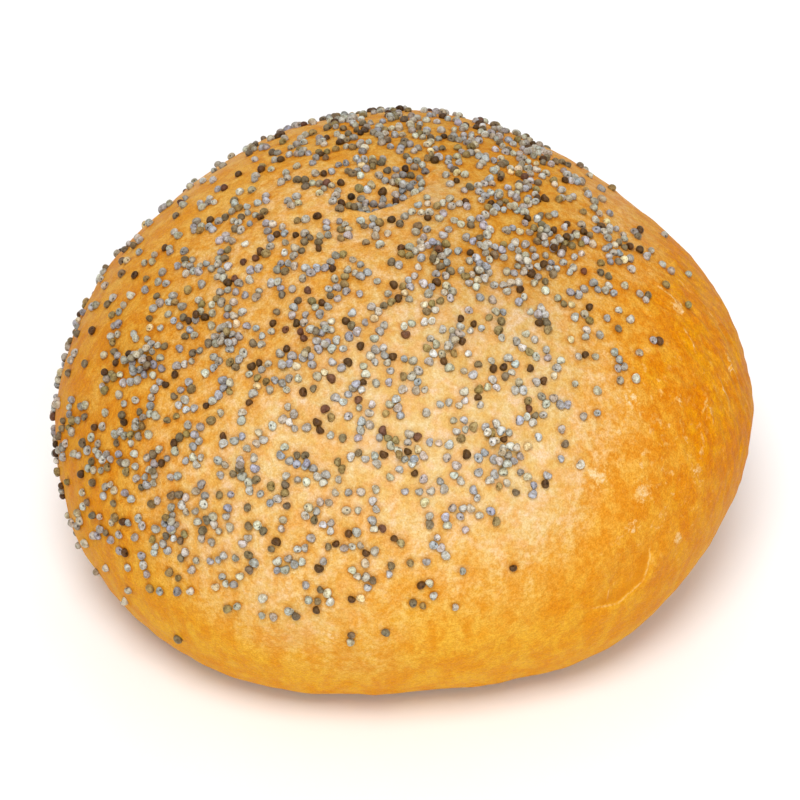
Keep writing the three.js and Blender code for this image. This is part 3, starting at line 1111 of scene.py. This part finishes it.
def seed_material(kind, colour, roughness):
    nodes = Nodes("seeds_" + kind)
    place = nodes.place()
    net_inputs = {"Vector": place, "Scale": SEED_NET_SCALE}
    net = nodes.add("ShaderNodeTexVoronoi", net_inputs, feature="DISTANCE_TO_EDGE")
    ridge = nodes.ramp(net.outputs["Distance"], *SEED_RIDGES)
    blotch = nodes.pattern(place, SEED_NOISE)
    worn = nodes.math("MULTIPLY_ADD", ridge, RIDGE_WEAR, nodes.times(blotch, BLOTCH_WEAR))
    dark = tuple(share * part for share, part in zip(WORN_DARK, colour))
    light = tuple(share * part for share, part in zip(WORN_LIGHT, colour))
    shown = nodes.mix(worn, dark, light)
    for name, least, most in (("warm", COOLER, WARMER), ("green", ROSIER, GREENER)):
        share = nodes.math("MULTIPLY_ADD", nodes.value(name), 0.5, 0.5)
        shown = nodes.tint(shown, nodes.mix(share, least, most))
    # The tone adds each seed's random tone and its painted light and shade
    shown = nodes.tint(shown, nodes.math("MULTIPLY_ADD", nodes.value("tone_and_light"), TONE_STRENGTH, 1.0))
    local = nodes.value("local", "Vector")
    offset = nodes.add("ShaderNodeVectorMath", {0: local, 1: HILUM}, operation="DISTANCE")
    scar = nodes.times(nodes.ramp(offset.outputs["Value"], *HILUM_FADE), HILUM_SHARE)
    shown = nodes.mix(scar, shown, tuple(HILUM_SHADE * part for part in colour))
    return nodes.surface({
        "Base Color": shown,
        "Roughness": roughness,
        "Specular IOR Level": SEED_SHINE,
        "Normal": nodes.bump(worn, SEED_BUMP),
    })


def turned(normal, turn, tilt, lean):
    """Seed frames as matrices whose columns are its length, width and thickness ways."""
    east, north = level_frame(normal)
    length = east * np.cos(turn)[:, None] + north * np.sin(turn)[:, None]
    width = np.cross(normal, length)
    thick = normal * np.cos(tilt)[:, None] + np.sin(tilt)[:, None] * (
        length * np.cos(lean)[:, None] + width * np.sin(lean)[:, None])
    length = unit(length - thick * (length * thick).sum(axis=1, keepdims=True))
    return np.stack([length, np.cross(thick, length), thick], axis=2)


def piled_places(place, normal, chance):
    """Middles of seeds that lie on others, where the first layer is thick, and their normals."""
    crowd = Crowd()
    for point in place:
        crowd.add(point)
    thick = [sum(1 for _ in crowd.near(point)) for point in place]
    shuffle = chance.uniform(-PILED_SHUFFLE, PILED_SHUFFLE, len(place))
    order = np.argsort(-np.array(thick) + shuffle, kind="stable")
    places = []
    normals = []
    for parent in order:
        step = PILED_STEP * level_way(normal[parent], chance.uniform(0, 2 * math.pi))
        point = place[parent] + step + normal[parent] * PILED_LIFT
        if crowd.is_clear(point, PILED_GAP * SEED_GAP):
            crowd.add(point)
            places.append(point)
            normals.append(normal[parent])
        if len(places) == PILED_COUNT:
            break
    return np.array(places), np.array(normals)


def lay_seeds():
    """Where all seeds lie and how they are turned, with their sizes, tints, painted light and shade, and
    kinds.
    """
    seeds = strewn_seeds()
    chance = np.random.RandomState(SEED_DRAW_START + 1)
    directions = np.array([seed[0] for seed in seeds])
    size = np.array([seed[2] for seed in seeds])
    normal = crust_normal(directions)
    place = crust_point(directions) + normal * (size * SEED_THICKNESS * (0.5 - SEED_SUNK))[:, None]
    piled, piled_normals = piled_places(place, normal, chance)
    place = np.vstack([place, piled])
    normal = np.vstack([normal, piled_normals])
    total = len(place)
    turn = np.concatenate([[seed[1] for seed in seeds], chance.uniform(0, 2 * np.pi, len(piled))])
    tilt = np.radians(np.abs(chance.normal(0, SEED_TILT_SPREAD, total)))
    shares = np.array([kind[1] for kind in SEED_KINDS])
    gathered = np.concatenate([[seed[3] for seed in seeds], np.zeros(len(piled), bool)])
    tone_and_light = np.clip(chance.normal(0, SEED_TINT_SPREAD, total), -1, 1)
    # Painted light and shade: seeds on the lit front are lighter, the rest darker and the gathered ones
    # darkest
    on_lit_front = zone_share(place, SEED_LIT_ZONE)
    tone_and_light += SEED_PAINTED_LIGHT * on_lit_front - SEED_PAINTED_SHADE - GATHERED_PAINTED_SHADE * gathered
    kinds = chance.choice(len(SEED_KINDS), total, p=shares / shares.sum())
    # Slate seeds on the lit front turn grey, more painted light there
    lit_to_grey = (kinds == SLATE) & (chance.uniform(0, 1, total) < LIT_GREY_SHARE * on_lit_front)
    kinds[lit_to_grey] = GREY
    return {
        "place": place,
        "size": np.concatenate([size, np.ones(len(piled))]),
        "frames": turned(normal, turn, tilt, chance.uniform(0, 2 * np.pi, total)),
        "tone_and_light": tone_and_light,
        "warm": np.clip(chance.normal(0, SEED_TINT_SPREAD, total), -1, 1),
        "green": np.clip(chance.normal(0, SEED_TINT_SPREAD, total), -1, 1),
        "kinds": kinds,
    }


def make_seeds(laid):
    local = seed_points()
    form = local * (0.5 * np.array([SEED_LENGTH, SEED_WIDTH, SEED_THICKNESS]))
    triangles, corners = seed_triangles()
    for number, (name, _, colour, roughness) in enumerate(SEED_KINDS):
        chosen = np.flatnonzero(laid["kinds"] == number)
        count = len(chosen)
        frames = laid["frames"][chosen] * laid["size"][chosen][:, None, None]
        points = np.einsum("nij,vj->nvi", frames, form) + laid["place"][chosen][:, None, :]
        faces = triangles[None] + (np.arange(count) * len(form))[:, None, None]
        tiles = math.ceil(math.sqrt(count))
        tile = np.stack([np.arange(count) % tiles, np.arange(count) // tiles], axis=1)
        inner = TILE_MARGIN + (1 - 2 * TILE_MARGIN) * corners[None]
        corner_map = ((tile[:, None, None, :] + inner) / tiles).reshape(-1, 2)
        material = seed_material(name, colour, roughness)
        piece = make_piece("seeds_" + name, points.reshape(-1, 3), faces.reshape(-1, 3), corner_map,
                           material)
        add_values(piece, "local", np.tile(local, (count, 1)))
        for tint in ("tone_and_light", "warm", "green"):
            add_values(piece, tint, np.repeat(laid[tint][chosen], len(form)))


# Camera, floor and light

def add_camera():
    data = bpy.data.cameras.new("camera")
    camera = bpy.data.objects.new("camera", data)
    bpy.context.scene.collection.objects.link(camera)
    rise = math.radians(CAMERA_ELEVATION)
    aim = Vector(CAMERA_AIM) * METRES
    camera.location = aim + Vector((0, -math.cos(rise), math.sin(rise))) * CAMERA_DISTANCE * METRES
    camera.rotation_euler = (math.pi / 2 - rise, 0, 0)
    data.sensor_width = SENSOR_WIDTH
    data.lens = CAMERA_PIXELS_PER_MM * CAMERA_DISTANCE * SENSOR_WIDTH / PICTURE_SIZE
    data.clip_start = CLIP_START
    data.clip_end = CLIP_END
    bpy.context.scene.camera = camera


def add_floor():
    bpy.ops.mesh.primitive_plane_add(size=FLOOR_SIZE, location=(0, 0, 0))
    floor = bpy.context.object
    floor.name = "floor"
    nodes = Nodes("floor")
    shade = nodes.mix(nodes.noise(nodes.place(), *FLOOR_NOISE), *FLOOR_SHADES)
    inputs = {"Base Color": shade, "Roughness": FLOOR_ROUGHNESS, "Specular IOR Level": FLOOR_SHINE}
    floor.data.materials.append(nodes.surface(inputs))


def add_light(name, bearing, lift, distance, width, power):
    data = bpy.data.lights.new(name, "AREA")
    data.shape = "DISK"
    data.size = width
    data.energy = power
    lamp = bpy.data.objects.new(name, data)
    bpy.context.scene.collection.objects.link(lamp)
    way = Vector(heading(bearing, lift))
    lamp.location = way * distance + Vector(LIGHT_AIM)
    lamp.rotation_euler = way.to_track_quat("Z", "Y").to_euler()


def add_studio():
    world = bpy.data.worlds.new("world")
    bpy.context.scene.world = world
    world.use_nodes = True
    sky = world.node_tree.nodes["Background"]
    sky.inputs["Color"].default_value = (1, 1, 1, 1)
    sky.inputs["Strength"].default_value = WORLD_STRENGTH
    for light in LIGHTS:
        add_light(*light)
    bpy.context.scene.view_settings.view_transform = "Standard"


laid_seeds = lay_seeds()
make_crust(laid_seeds["place"])
make_seeds(laid_seeds)
add_camera()
add_floor()
add_studio()
